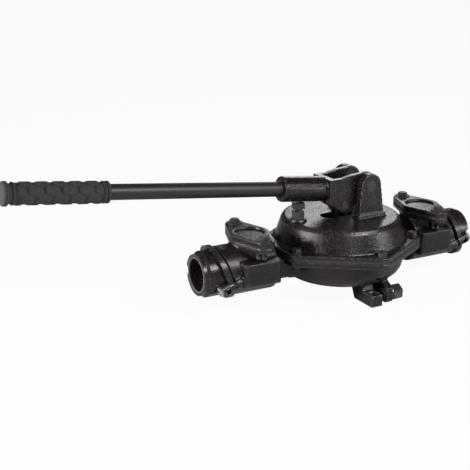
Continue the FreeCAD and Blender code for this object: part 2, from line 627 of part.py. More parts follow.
# ---------------------------------------------------------------- covers
def valve_cover(side):
    """A valve cover with its round recess."""
    x = at(side, COVER_X)
    cover = oval(x, COVER_TOP_Z - COVER_T, COVER_TOP_Z)
    rim = [e for e in cover.Edges if e.BoundBox.ZMin > COVER_TOP_Z - 0.1]
    cover = cover.makeChamfer(0.8, rim)
    cover = cover.cut(upright(COVER_RECESS_R, COVER_TOP_Z - COVER_RECESS_DEPTH, COVER_TOP_Z + 1.0, x, 0))
    for end in (1.0, -1.0):
        cover = cover.cut(upright(M8[3] + SEAT_CLEAR, COVER_TOP_Z - 20.0, COVER_TOP_Z + 1.0, x, end * COVER_SPAN))
    return cover


def cover_gasket(side):
    """The gasket under a valve cover."""
    x = at(side, COVER_X)
    gasket = oval(x, CHEST_FLANGE_Z, CHEST_FLANGE_Z + GASKET_T)
    gasket = gasket.cut(upright(ACCESS_R + 1.0, CHEST_FLANGE_Z - 1.0, COVER_TOP_Z, x, 0))
    for end in (1.0, -1.0):
        gasket = gasket.cut(upright(M8[3] + SEAT_CLEAR, CHEST_FLANGE_Z - 1.0, COVER_TOP_Z, x, end * COVER_SPAN))
    return gasket


def cover_fasteners():
    """The bolts and broad washers of both valve covers."""
    bolts = []
    washers = []
    washer_r = 11.5
    washer_t = 1.8
    for side in (-1.0, 1.0):
        for end in (1.0, -1.0):
            x, y = at(side, COVER_X), end * COVER_SPAN
            washer = upright(washer_r, COVER_TOP_Z, COVER_TOP_Z + washer_t, x, y)
            washers.append(washer.cut(upright(M8[3] + SEAT_CLEAR, COVER_TOP_Z - 1.0, COVER_TOP_Z + 5.0, x, y)))
            head_z = COVER_TOP_Z + washer_t
            head = hexagon(M8[0], Vec(x, y, head_z), Vec(0, 0, 1), M8[1], 10.0)
            shank = upright(M8[3], LEDGE_Z[1] + 2.0, head_z + 1.0, x, y)
            bolts.append(head.fuse(shank).removeSplitter())
    return bolts, washers


# ---------------------------------------------------------------- diaphragm, rod and plates
def diaphragm():
    """The fabric-reinforced rubber diaphragm, flat at its rim and dished to the plates."""
    rim_low = BODY_FLANGE_Z
    drop = DIAPHRAGM_REST_Z - rim_low
    rim = lug_flange(rim_low, rim_low + DIAPHRAGM_T, DIAPHRAGM_TRIM)
    rim = rim.cut(upright(CHAMBER_R - 1.5, rim_low - 1.0, rim_low + DIAPHRAGM_T + 1.0))
    inner_r = PLATE_R + 3.0

    def skirt(shift):
        """The skirt's outline as a skewed cone between rim and plates, moved by shift."""
        top = Part.Wire(Part.makeCircle(CHAMBER_R - 1.5, Vec(0, 0, rim_low + shift)))
        low = Part.Wire(Part.makeCircle(inner_r, Vec(ROD_PIN_X, 0, rim_low + drop + shift)))
        return Part.makeLoft([low, top], True, True)

    band = upright(CHAMBER_R - 1.0, rim_low, rim_low + DIAPHRAGM_T)
    dish = skirt(0.0).cut(skirt(DIAPHRAGM_T))
    dish = dish.cut(upright(CHAMBER_R, rim_low + DIAPHRAGM_T, rim_low + 20.0))
    middle = upright(inner_r + 1.0, DIAPHRAGM_REST_Z, DIAPHRAGM_REST_Z + DIAPHRAGM_T, ROD_PIN_X, 0)
    middle = middle.common(skirt(0.0))
    band = band.cut(skirt(DIAPHRAGM_T).fuse(upright(CHAMBER_R - 3.5, rim_low - 1.0, rim_low + 9.0)))
    sheet = fused([rim, band, dish, middle])
    sheet = sheet.cut(upright(ROD_R - 1.0 + THREAD_CLEAR, rim_low - 40.0, rim_low + 40.0, ROD_PIN_X, 0))
    for hole in bolt_holes(rim_low - 1.0, rim_low + 10.0, M8[3] + SEAT_CLEAR):
        sheet = sheet.cut(hole)
    return sheet


def rod_parts():
    """Diaphragm rod with its eye, the two plates and the clamping nut."""
    x = ROD_PIN_X
    neck_r = ROD_R - 1.0
    plate_top = DIAPHRAGM_REST_Z + DIAPHRAGM_T + PLATE_T
    shoulder = plate_top
    foot = DIAPHRAGM_REST_Z - PLATE_T - M12[2] - 3.0
    eye_half = CHEEK_INNER_Y - SEAT_CLEAR * 2
    eye = Part.makeCylinder(ROD_EYE_R, 2 * eye_half, Vec(x, -eye_half, ROD_PIN_Z), Vec(0, 1, 0))
    rod = fused([eye, upright(ROD_R, shoulder, ROD_PIN_Z, x, 0), upright(neck_r, foot, shoulder + 1.0, x, 0)])
    rod = rod.fuse(upright(ROD_R + 4.0, shoulder, shoulder + 5.0, x, 0)).removeSplitter()
    rod = rod.cut(Part.makeCylinder(ROD_PIN_R + RUN_CLEAR, 80.0, Vec(x, -40.0, ROD_PIN_Z), Vec(0, 1, 0)))
    hole = upright(neck_r + THREAD_CLEAR, 0, BONNET_TOP_Z, x, 0)
    top = upright(PLATE_R, DIAPHRAGM_REST_Z + DIAPHRAGM_T, plate_top, x, 0)
    top = top.makeFillet(2.0, [e for e in top.Edges if e.BoundBox.ZMin > plate_top - 0.1]).cut(hole)
    low = upright(PLATE_R, DIAPHRAGM_REST_Z - PLATE_T, DIAPHRAGM_REST_Z, x, 0)
    low = low.makeFillet(2.0, [e for e in low.Edges if e.BoundBox.ZMax < DIAPHRAGM_REST_Z - PLATE_T + 0.1]).cut(hole)
    nut = hexagon(M12[0], Vec(x, 0, DIAPHRAGM_REST_Z - PLATE_T), Vec(0, 0, -1), M12[2]).cut(hole)
    return rod, top, low, nut


# ---------------------------------------------------------------- lever, tube and grip
def lever_line():
    """A point on the lever's axis above the bonnet's centre, and its direction to the grip."""
    rise = math.radians(LEVER_RISE)
    return Vec(0, 0, LEVER_AXIS_Z), Vec(-math.cos(rise), 0, math.sin(rise))


def lever_bar(radius, start, end):
    """A cylinder on the lever's axis between two distances."""
    origin, direction = lever_line()
    return Part.makeCylinder(radius, end - start, origin + direction * start, direction)


def tangent_band(first, second, y, width):
    """The band between two circles, each (x, z, radius), bounded by their outer tangents."""
    (x1, z1, r1), (x2, z2, r2) = first, second
    span = math.hypot(x2 - x1, z2 - z1)
    base = math.atan2(z2 - z1, x2 - x1)
    lean = math.acos((r1 - r2) / span)
    points = []
    for px, pz, radius, swing in ((x1, z1, r1, lean), (x2, z2, r2, lean), (x2, z2, r2, -lean), (x1, z1, r1, -lean)):
        points.append(Vec(px + radius * math.cos(base + swing), y, pz + radius * math.sin(base + swing)))
    pieces = [prism(points, Vec(0, width, 0))]
    for px, pz, radius in (first, second):
        pieces.append(Part.makeCylinder(radius, width, Vec(px, y, pz), Vec(0, 1, 0)))
    return fused(pieces)


def lever_casting():
    """The lever casting: handle socket, bridge and the two cheeks of its yoke."""
    socket = lever_bar(SOCKET_R, SOCKET_START, SOCKET_END)
    rim = [e for e in socket.Edges if e.BoundBox.XMax < -SOCKET_END + 12.0]
    socket = socket.makeFillet(3.0, rim)
    bridge_low = LEVER_AXIS_Z - 15.0
    bridge_high = LEVER_AXIS_Z + 22.0
    bridge = block((BRIDGE_X[0], BRIDGE_X[1]), (-CHEEK_OUTER_Y, CHEEK_OUTER_Y), (bridge_low, bridge_high))
    pieces = [socket, bridge]
    pin = (ROD_PIN_X, ROD_PIN_Z, CHEEK_PIN_R)
    pivot = (PIVOT_X, PIVOT_Z, CHEEK_PIVOT_R)
    for y in (-CHEEK_OUTER_Y, CHEEK_INNER_Y):
        web = [Vec(BRIDGE_X[0], y, bridge_low), Vec(BRIDGE_X[0], y, bridge_high), Vec(-16.0, y, bridge_high)]
        web += [Vec(2.0, y, bridge_high + 3.5), Vec(PIVOT_X - 6.0, y, PIVOT_Z + CHEEK_PIVOT_R - 1.0)]
        web += [Vec(PIVOT_X, y, PIVOT_Z), Vec(ROD_PIN_X, y, ROD_PIN_Z), Vec(ROD_PIN_X - 6.0, y, ROD_PIN_Z - 9.5)]
        pieces.append(prism(web, Vec(0, CHEEK_T, 0)))
        pieces.append(tangent_band(pin, pivot, y, CHEEK_T))
    casting = fused(pieces)
    inside = CHEEK_INNER_Y
    casting = casting.cut(block((BRIDGE_X[1], PIVOT_X + 30.0), (-inside, inside), (BONNET_TOP_Z, PIVOT_Z + 30.0)))
    casting = casting.cut(lever_bar(TUBE_R + RUN_CLEAR, TUBE_START, SOCKET_END + 1.0))
    for x, z, radius in ((PIVOT_X, PIVOT_Z, BUSH_R), (ROD_PIN_X, ROD_PIN_Z, ROD_PIN_R)):
        casting = casting.cut(Part.makeCylinder(radius + THREAD_CLEAR, 80.0, Vec(x, -40.0, z), Vec(0, 1, 0)))
    return casting


def pivot_bushes():
    """The flanged bushes that turn on the pivot pin, one in each cheek."""
    bushes = []
    gap = EAR_INNER_Y - CHEEK_OUTER_Y
    for end in (1.0, -1.0):
        start = Vec(PIVOT_X, end * CHEEK_INNER_Y, PIVOT_Z)
        face = Vec(PIVOT_X, end * CHEEK_OUTER_Y, PIVOT_Z)
        bush = Part.makeCylinder(BUSH_R, CHEEK_T + 0.5, start, Vec(0, end, 0))
        bush = bush.fuse(Part.makeCylinder(BUSH_R + 3.0, gap - SEAT_CLEAR, face, Vec(0, end, 0))).removeSplitter()
        bore = Part.makeCylinder(PIVOT_PIN_R + RUN_CLEAR, 80.0, Vec(PIVOT_X, -40.0, PIVOT_Z), Vec(0, 1, 0))
        bushes.append(bush.cut(bore))
    return bushes


def handle_tube():
    """The steel tube of the handle."""
    return lever_bar(TUBE_R, TUBE_START + 1.0, TUBE_END).cut(lever_bar(TUBE_R - TUBE_WALL, TUBE_START, TUBE_END + 1.0))


def handle_grip():
    """The rubber grip with its end flange, neck and rings."""
    origin, direction = lever_line()
    length = GRIP_END - GRIP_START
    outline = [(0, 0), (GRIP_RING_R, 0), (GRIP_RING_R, 4.0), (GRIP_NECK_R, 5.0), (GRIP_RING_R, 6.0)]
    outline += [(GRIP_RING_R, 9.0), (GRIP_BODY_R, 12.0), (GRIP_BODY_R, length - 19.0), (GRIP_NECK_R, length - 17.0)]
    outline += [(GRIP_RING_R, length - 16.0), (GRIP_RING_R, length - 13.5), (GRIP_NECK_R, length - 12.5)]
    outline += [(GRIP_NECK_R, length - 8.5), (GRIP_FLANGE_R, length - 7.0), (GRIP_FLANGE_R, length - 2.5)]
    outline += [(GRIP_FLANGE_R - 2.5, length), (0, length)]
    grip = turned(outline, origin + direction * GRIP_START, direction)
    return grip.cut(lever_bar(TUBE_R + RUN_CLEAR, GRIP_START - 1.0, TUBE_END + 1.0))


# ---------------------------------------------------------------- pins and fasteners
def cross_pin(radius, half, x, z):
    """A pin across the lever's fork."""
    pin = Part.makeCylinder(radius, 2 * half, Vec(x, -half, z), Vec(0, 1, 0))
    return pin.makeChamfer(0.6, [e for e in pin.Edges if e.BoundBox.YLength < 0.1])


def stop_bolt():
    """The stop bolt under the socket and its lock nut."""
    head_r = M12[0] / math.sqrt(3.0)
    rise = math.radians(LEVER_RISE)
    underside = LEVER_AXIS_Z - (STOP_X + head_r) * math.tan(rise) - SOCKET_R / math.cos(rise)
    head_top = underside - SEAT_CLEAR
    head = hexagon(M12[0], Vec(STOP_X, 0, head_top - M12[1]), Vec(0, 0, 1), M12[1])
    shank = upright(M12[3], BONNET_TOP_Z - STOP_THREAD + 3.0, head_top - 1.0, STOP_X, 0)
    nut = hexagon(M12[0], Vec(STOP_X, 0, STOP_SEAT_Z), Vec(0, 0, 1), M12[2])
    nut = nut.cut(upright(M12[3] + THREAD_CLEAR, STOP_SEAT_Z - 1.0, STOP_SEAT_Z + M12[2] + 1.0, STOP_X, 0))
    return head.fuse(shank).removeSplitter(), nut


def flange_fasteners():
    """The through-bolts, washers and nuts of the main flange."""
    bolts = []
    washers = []
    nuts = []
    washer_t = 1.6
    for x, y, angle in ring_places():
        washer = upright(M8[0] * 0.6, FLANGE_TOP_Z, FLANGE_TOP_Z + washer_t, x, y)
        washers.append(washer.cut(upright(M8[3] + SEAT_CLEAR, FLANGE_TOP_Z - 1.0, FLANGE_TOP_Z + 5.0, x, y)))
        head_z = FLANGE_TOP_Z + washer_t
        head = hexagon(M8[0], Vec(x, y, head_z), Vec(0, 0, 1), M8[1], angle)
        shank = upright(M8[3], BODY_FLANGE_LOW_Z - M8[2] - 3.0, head_z + 1.0, x, y)
        bolts.append(head.fuse(shank).removeSplitter())
        nut = hexagon(M8[0], Vec(x, y, BODY_FLANGE_LOW_Z), Vec(0, 0, -1), M8[2], angle)
        nuts.append(nut.cut(upright(M8[3] + THREAD_CLEAR, BODY_FLANGE_LOW_Z - 20.0, BODY_FLANGE_LOW_Z + 1.0, x, y)))
    return bolts, washers, nuts


def clamp_screw():
    """The screw through the front jaw, backed off to leave the slot open."""
    start = Vec(FRONT_FOOT_X[1] + JAW_GAP, JAW_SCREW_Y, JAW_SCREW_Z)
    out = Vec(1, 0, 0)
    shank = Part.makeCylinder(M12[3], JAW_T + JAW_SCREW_STAND + 1.0, start, out)
    collar = Part.makeCylinder(JAW_SCREW_FLATS / 2.0, JAW_SCREW_STAND, start + out * JAW_T, out)
    head = hexagon(JAW_SCREW_FLATS, start + out * (JAW_T + JAW_SCREW_STAND), out, JAW_SCREW_HEAD, 30.0)
    return fused([shank, collar, head])


def main():
    """Build every sub-part and write it."""
    os.makedirs("parts", exist_ok=True)
    save("pump_body", [pump_body()])
    save("bonnet", [bonnet()])
    save("diaphragm", [diaphragm()])
    bolts, washers, nuts = flange_fasteners()
    save("flange_bolts", bolts)
    save("flange_washers", washers)
    save("flange_nuts", nuts)
    for side, name in ((-1.0, "inlet"), (1.0, "outlet")):
        save(name + "_valve_cover", [valve_cover(side)])
        save(name + "_cover_gasket", [cover_gasket(side)])
        save(name + "_valve_seat", [valve_seat(side)])
        rubber, plate, screw, pin, pin_at = valve_flap(side)
        print(name, "flap hinge at", [round(value, 3) for value in pin_at])
        save(name + "_flap", [rubber])
        save(name + "_flap_plate", [plate])
        save(name + "_flap_screw", [screw])
        save(name + "_flap_pin", [pin])
        save(name + "_port_spigot", [port_spigot(side)])
        save(name + "_port_seal", [port_seal(side)])
        save(name + "_port_bolts", joint_fasteners(side))
    cover_bolts, cover_washers = cover_fasteners()
    save("cover_bolts", cover_bolts)
    save("cover_washers", cover_washers)
    rod, top_plate, low_plate, rod_nut = rod_parts()
    save("diaphragm_rod", [rod])
    save("upper_plate", [top_plate])
    save("lower_plate", [low_plate])
    save("rod_nut", [rod_nut])
    save("lever_casting", [lever_casting()])
    save("pivot_bushes", pivot_bushes())
    save("handle_tube", [handle_tube()])
    save("handle_grip", [handle_grip()])
    save("pivot_pin", [cross_pin(PIVOT_PIN_R, EAR_OUTER_Y, PIVOT_X, PIVOT_Z)])
    save("rod_pin", [cross_pin(ROD_PIN_R, CHEEK_OUTER_Y, ROD_PIN_X, ROD_PIN_Z)])
    bolt, nut = stop_bolt()
    save("stop_bolt", [bolt])
    save("stop_lock_nut", [nut])
    save("foot_clamp_screw", [clamp_screw()])


main()
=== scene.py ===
"""Looks of a lever-operated diaphragm hand pump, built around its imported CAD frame.

The pieces' sizes are written in millimetres and scaled by MM, and the studio's are in metres. Every
piece lies in the CAD frame: X runs along the flow from the inlet to the outlet, Z is up and the
lever swings in the XZ plane above the inlet side.
"""
import logging
import math
from dataclasses import dataclass
from enum import Enum
from typing import Iterable

import bmesh
import bpy
from mathutils import Matrix, Vector, noise

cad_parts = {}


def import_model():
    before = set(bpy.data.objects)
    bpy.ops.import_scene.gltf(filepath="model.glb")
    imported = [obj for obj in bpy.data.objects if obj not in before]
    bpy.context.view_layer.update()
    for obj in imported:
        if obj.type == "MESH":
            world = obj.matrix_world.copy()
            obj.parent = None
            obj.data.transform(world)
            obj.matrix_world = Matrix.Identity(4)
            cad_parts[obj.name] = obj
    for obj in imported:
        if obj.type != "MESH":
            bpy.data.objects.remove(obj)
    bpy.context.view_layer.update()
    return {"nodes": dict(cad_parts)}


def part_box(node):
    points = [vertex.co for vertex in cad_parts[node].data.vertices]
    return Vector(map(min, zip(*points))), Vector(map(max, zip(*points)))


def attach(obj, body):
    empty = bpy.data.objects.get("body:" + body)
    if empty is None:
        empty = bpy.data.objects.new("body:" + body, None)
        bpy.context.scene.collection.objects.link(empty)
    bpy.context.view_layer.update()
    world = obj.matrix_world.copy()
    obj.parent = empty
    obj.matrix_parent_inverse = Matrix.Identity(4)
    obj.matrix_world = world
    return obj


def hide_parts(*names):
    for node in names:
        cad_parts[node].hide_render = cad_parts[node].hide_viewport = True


LOG = logging.getLogger("hand_pump")
MM = 0.001
UP = Vector((0, 0, 1))
DOWN = Vector((0, 0, -1))
ALONG = Vector((1, 0, 0))
PORT_AXIS_Z = 64.0
HARDWARE_ANGLE = 25.0
GRIP_ANGLE = 50.0
HEAD_SINK = 0.5


@dataclass(frozen=True)
class Thread:
    """The sizes of one thread and its hexagons, in millimetres."""

    flats: float
    head: float
    nut: float
    radius: float
    pitch: float
    crown: float


M8 = Thread(13.0, 5.3, 6.5, 4.0, 1.25, 0.9)
M12 = Thread(18.0, 9.0, 12.0, 6.0, 1.75, 1.2)


# ---------------------------------------------------------------- node boards and shared groups
class Board:
    """A node tree with short calls for adding and joining nodes."""

    def __init__(self, tree: bpy.types.NodeTree) -> None:
        """Wrap a node tree."""
        self.tree = tree

    def node(self, kind: str, inputs: dict | None = None, **settings: object) -> bpy.types.Node:
        """Add a node.

        Args:
            kind: The node's type name.
            inputs: Values or output sockets for its input sockets, by name or index.
            settings: Properties of the node itself.

        Returns:
            The new node.
        """
        made = self.tree.nodes.new(kind)
        for key, value in settings.items():
            setattr(made, key, value)
        for key, value in (inputs or {}).items():
            if isinstance(value, bpy.types.NodeSocket):
                self.tree.links.new(value, made.inputs[key])
            else:
                made.inputs[key].default_value = value
        return made

    def maths(self, operation: str, first: object, second: object = 0.0,
              clamp: bool = False) -> bpy.types.NodeSocket:
        """Add a Math node and return its output."""
        made = self.node("ShaderNodeMath", {0: first, 1: second}, operation=operation, use_clamp=clamp)
        return made.outputs[0]

    def blend(self, factor: object, first: object, second: object) -> bpy.types.NodeSocket:
        """Mix two colours and return the mixed colour."""
        made = self.node("ShaderNodeMix", {0: factor, 6: first, 7: second}, data_type="RGBA")
        return made.outputs[2]

    def span(self, value: object, low: float, high: float, to_low: float,
             to_high: float) -> bpy.types.NodeSocket:
        """Map a value from one range to another, held inside it."""
        made = self.node("ShaderNodeMapRange", {0: value, 1: low, 2: high, 3: to_low, 4: to_high})
        return made.outputs[0]

    def noise(self, vector: object, scale: object, detail: float = 2.0,
              rough: float = 0.5) -> bpy.types.NodeSocket:
        """Add a noise texture and return its value."""
        made = self.node("ShaderNodeTexNoise",
                         {"Vector": vector, "Scale": scale, "Detail": detail, "Roughness": rough})
        return made.outputs["Fac"]


def group_tree(name: str, inputs: dict[str, float | None],
               outputs: Iterable[str]) -> tuple[Board, dict, bpy.types.Node]:
    """Start a shader group.

    Args:
        name: The group's name.
        inputs: Default value of each float input, or None for a vector input.
        outputs: The float outputs' names.

    Returns:
        The group's board, its input sockets by name, and its output node.
    """
    tree = bpy.data.node_groups.new(name, "ShaderNodeTree")
    for label, value in inputs.items():
        kind = "NodeSocketVector" if value is None else "NodeSocketFloat"
        socket = tree.interface.new_socket(name=label, in_out="INPUT", socket_type=kind)
        if value is not None:
            socket.default_value = value
    for label in outputs:
        tree.interface.new_socket(name=label, in_out="OUTPUT", socket_type="NodeSocketFloat")
    board = Board(tree)
    entry = board.node("NodeGroupInput")
    leave = board.node("NodeGroupOutput")
    return board, {label: entry.outputs[label] for label in inputs}, leave


def sand_grain_group() -> bpy.types.NodeTree:
    """The skin of a sand casting: fine grains, lumps and pits, and a mask of painted glints.

    Returns:
        The group's node tree.
    """
    inputs = {"Vector": None, "Grain": 700.0, "Lumps": 0.4, "Pits": 0.3}
    board, given, leave = group_tree("sand_grain", inputs, ("Height", "PaintedGlint", "Tone"))
    fine = board.noise(given["Vector"], given["Grain"], 3.0, 0.65)
    coarse = board.noise(given["Vector"], board.maths("MULTIPLY", given["Grain"], 0.14), 2.0)
    cells = board.node("ShaderNodeTexVoronoi", {"Vector": given["Vector"],
                                                "Scale": board.maths("MULTIPLY", given["Grain"], 0.35)})
    pits = board.maths("MULTIPLY", board.span(cells.outputs["Distance"], 0.05, 0.30, 1.0, 0.0), given["Pits"])
    lumps = board.maths("MULTIPLY", coarse, given["Lumps"])
    height = board.maths("SUBTRACT", board.maths("ADD", fine, lumps), pits)
    board.tree.links.new(height, leave.inputs["Height"])
    # Painted glints: a sparse mask of bright flecks that the coats paint into their colour.
    glint_noise = board.noise(given["Vector"], board.maths("MULTIPLY", given["Grain"], 0.9), 1.0)
    painted_glint = board.span(glint_noise, 0.60, 0.68, 0.0, 1.0)
    board.tree.links.new(painted_glint, leave.inputs["PaintedGlint"])
    tone = board.noise(given["Vector"], 22.0, 4.0, 0.6)
    board.tree.links.new(tone, leave.inputs["Tone"])
    return board.tree


def edge_wear_and_highlight_group() -> bpy.types.NodeTree:
    """A mask of convex edges, broken up by noise, for colour lightened as handling wear and as painted edge
    highlight.

    Returns:
        The group's node tree.
    """
    inputs = {"Vector": None, "Pointiness": 0.5, "Amount": 0.5}
    board, given, leave = group_tree("edge_wear_and_highlight", inputs, ("Mask",))
    ridge = board.span(given["Pointiness"], 0.505, 0.56, 0.0, 1.0)
    broken = board.span(board.noise(given["Vector"], 160.0, 4.0, 0.7), 0.38, 0.62, 0.15, 1.0)
    mask = board.maths("MULTIPLY", board.maths("MULTIPLY", ridge, broken), given["Amount"], clamp=True)
    board.tree.links.new(mask, leave.inputs["Mask"])
    return board.tree


class Groups:
    """The shared shader groups, each built once."""

    made: dict[str, bpy.types.NodeTree] = {}

    @classmethod
    def get(cls, name: str) -> bpy.types.NodeTree:
        """Return a shared group, building it on first use.

        Args:
            name: "sand_grain" or "edge_wear_and_highlight".

        Returns:
            The group's node tree.
        """
        if name not in cls.made:
            cls.made[name] = {"sand_grain": sand_grain_group, "edge_wear_and_highlight": edge_wear_and_highlight_group}[name]()
        return cls.made[name]


# ---------------------------------------------------------------- finishes
Colour = tuple[float, float, float]


def rgba(colour: Colour) -> tuple[float, float, float, float]:
    """A colour with full alpha."""
    return (*colour, 1.0)


@dataclass(frozen=True)
class CastCoat:
    """Black coating on sand-cast metal, with grains, painted glints and edges lightened as wear and painted
    highlight.
    """

    name: str
    colour: Colour = (0.0066, 0.0040, 0.0034)
    # Colour of the painted glints and of the edges lightened as wear and painted highlight.
    bright: Colour = (0.090, 0.080, 0.083)
    roughness: float = 0.30
    grain: float = 620.0
    depth: float = 0.00030
    lumps: float = 0.10
    pits: float = 0.35
    edge: float = 0.7
    mouth: tuple[float, float] | None = None
    lip: tuple[float, float] = (25.4 * MM, 26.0 * MM)

    def build(self) -> bpy.types.Material:
        """Build the material.

        Returns:
            The material.
        """
        material, board, shader = start_material(self.name)
        place = board.node("ShaderNodeTexCoord").outputs["Object"]
        grain = board.node("ShaderNodeGroup", {}, node_tree=Groups.get("sand_grain"))
        board.tree.links.new(place, grain.inputs["Vector"])
        grain.inputs["Grain"].default_value = self.grain
        grain.inputs["Pits"].default_value = self.pits
        grain.inputs["Lumps"].default_value = self.lumps
        ridge = board.node("ShaderNodeNewGeometry").outputs["Pointiness"]
        edge_lightening = board.node("ShaderNodeGroup", {}, node_tree=Groups.get("edge_wear_and_highlight"))
        board.tree.links.new(place, edge_lightening.inputs["Vector"])
        board.tree.links.new(ridge, edge_lightening.inputs["Pointiness"])
        edge_lightening.inputs["Amount"].default_value = self.edge
        tone = board.span(grain.outputs["Tone"], 0.3, 0.7, 0.0, 1.0)
        warm = tuple(channel * 1.5 for channel in self.colour)
        colour = board.blend(tone, rgba(self.colour), rgba(warm))
        # Painted glints: flecks lightened towards the bright colour.
        colour = board.blend(board.maths("MULTIPLY", grain.outputs["PaintedGlint"], 0.45), colour, rgba(self.bright))
        # Edges lightened towards the bright colour, partly as rubbed wear and partly as painted highlight.
        colour = board.blend(edge_lightening.outputs["Mask"], colour, rgba(self.bright))
        rough = board.span(grain.outputs["Tone"], 0.3, 0.7, self.roughness - 0.05, self.roughness + 0.07)
        rough = board.maths("SUBTRACT", rough, board.maths("MULTIPLY", grain.outputs["PaintedGlint"], 0.12))
        if self.mouth is not None:
            colour, rough = self.machined_mouth(board, place, colour, rough)
        bump = board.node("ShaderNodeBump",
                          {"Height": grain.outputs["Height"], "Distance": self.depth, "Strength": 0.85})
        shader.inputs["Specular IOR Level"].default_value = 0.42
        board.tree.links.new(colour, shader.inputs["Base Color"])
        board.tree.links.new(rough, shader.inputs["Roughness"])
        board.tree.links.new(bump.outputs["Normal"], shader.inputs["Normal"])
        return material

    def machined_mouth(self, board: Board, place: object, colour: object,
                       rough: object) -> tuple[object, object]:
        """Turn the port's inner lip to bare machined metal.

        Args:
            board: The material's board.
            place: Object coordinates.
            colour: The coat's colour.
            rough: The coat's roughness.

        Returns:
            The new colour and roughness.
        """
        axes = board.node("ShaderNodeSeparateXYZ", {0: place})
        height = board.maths("SUBTRACT", axes.outputs["Z"], PORT_AXIS_Z * MM)
        square = board.maths("POWER", axes.outputs["Y"], 2.0)
        radius = board.maths("SQRT", board.maths("ADD", square, board.maths("POWER", height, 2.0)))
        inside = board.span(radius, self.lip[0], self.lip[1], 1.0, 0.0)
        far = board.span(board.maths("ABSOLUTE", axes.outputs["X"]), self.mouth[0], self.mouth[1], 0.0, 1.0)
        mask = board.maths("MULTIPLY", inside, far)
        rings = board.node("ShaderNodeCombineXYZ", {"X": axes.outputs["X"], "Y": radius}).outputs[0]
        turned = board.noise(rings, 900.0, 2.0)
        metal = board.blend(turned, rgba((0.16, 0.155, 0.15)), rgba((0.30, 0.295, 0.29)))
        mixed = board.blend(mask, colour, metal)
        return mixed, board.maths("SUBTRACT", rough, board.maths("MULTIPLY", mask, 0.10))


@dataclass(frozen=True)
class SmoothCoat:
    """Semi-gloss black paint on drawn or machined metal."""

    name: str
    colour: Colour = (0.0115, 0.0100, 0.0098)
    roughness: float = 0.22
    coat: float = 0.35
    streaks: float = 240.0

    def build(self) -> bpy.types.Material:
        """Build the material.

        Returns:
            The material.
        """
        material, board, shader = start_material(self.name)
        place = board.node("ShaderNodeTexCoord").outputs["Object"]
        stretch = board.node("ShaderNodeMapping", {"Vector": place, "Scale": (0.12, 1.0, 1.0)}).outputs[0]
        orange = board.noise(place, 420.0, 2.0)
        drawn = board.noise(stretch, self.streaks, 3.0, 0.6)
        dust = board.span(board.noise(place, 900.0, 1.0), 0.64, 0.74, 0.0, 0.35)
        light = tuple(channel * 2.2 for channel in self.colour)
        colour = board.blend(board.span(drawn, 0.35, 0.65, 0.0, 1.0), rgba(self.colour), rgba(light))
        colour = board.blend(dust, colour, rgba((0.10, 0.098, 0.10)))
        rough = board.span(drawn, 0.3, 0.7, self.roughness - 0.04, self.roughness + 0.08)
        bump = board.node("ShaderNodeBump", {"Height": orange, "Distance": 0.00012, "Strength": 0.5})
        board.tree.links.new(colour, shader.inputs["Base Color"])
        board.tree.links.new(rough, shader.inputs["Roughness"])
        board.tree.links.new(bump.outputs["Normal"], shader.inputs["Normal"])
        shader.inputs["Coat Weight"].default_value = self.coat
        shader.inputs["Coat Roughness"].default_value = 0.12
        return material


@dataclass(frozen=True)
class BareMetal:
    """Plated, blackened or machined metal, brushed and a little marked, with edges lightened as wear and as
    painted highlight.
    """

    name: str
    colour: Colour
    dark: Colour
    roughness: float
    metallic: float = 1.0
    edge_lightening_amount: float = 0.5

    def build(self) -> bpy.types.Material:
        """Build the material.

        Returns:
            The material.
        """
        material, board, shader = start_material(self.name)
        place = board.node("ShaderNodeTexCoord").outputs["Object"]
        blotch = board.noise(place, 190.0, 5.0, 0.65)
        stretch = board.node("ShaderNodeMapping", {"Vector": place, "Scale": (1.0, 1.0, 0.06)}).outputs[0]
        brushed = board.noise(stretch, 1500.0, 2.0)
        ridge = board.node("ShaderNodeNewGeometry").outputs["Pointiness"]
        edge_lightening = board.node("ShaderNodeGroup", {}, node_tree=Groups.get("edge_wear_and_highlight"))
        board.tree.links.new(place, edge_lightening.inputs["Vector"])
        board.tree.links.new(ridge, edge_lightening.inputs["Pointiness"])
        edge_lightening.inputs["Amount"].default_value = self.edge_lightening_amount
        colour = board.blend(board.span(blotch, 0.35, 0.68, 0.0, 1.0), rgba(self.colour), rgba(self.dark))
        bright = tuple(min(1.0, channel * 1.8 + 0.03) for channel in self.colour)
        # Edges lightened, partly as rubbed wear and partly as painted highlight.
        colour = board.blend(edge_lightening.outputs["Mask"], colour, rgba(bright))
        rough = board.maths("ADD", board.span(blotch, 0.3, 0.7, self.roughness, self.roughness + 0.14),
                            board.maths("MULTIPLY", brushed, 0.06))
        bump = board.node("ShaderNodeBump", {"Height": brushed, "Distance": 0.00006, "Strength": 0.5})
        board.tree.links.new(colour, shader.inputs["Base Color"])
        board.tree.links.new(rough, shader.inputs["Roughness"])
        board.tree.links.new(bump.outputs["Normal"], shader.inputs["Normal"])
        shader.inputs["Metallic"].default_value = self.metallic
        return material


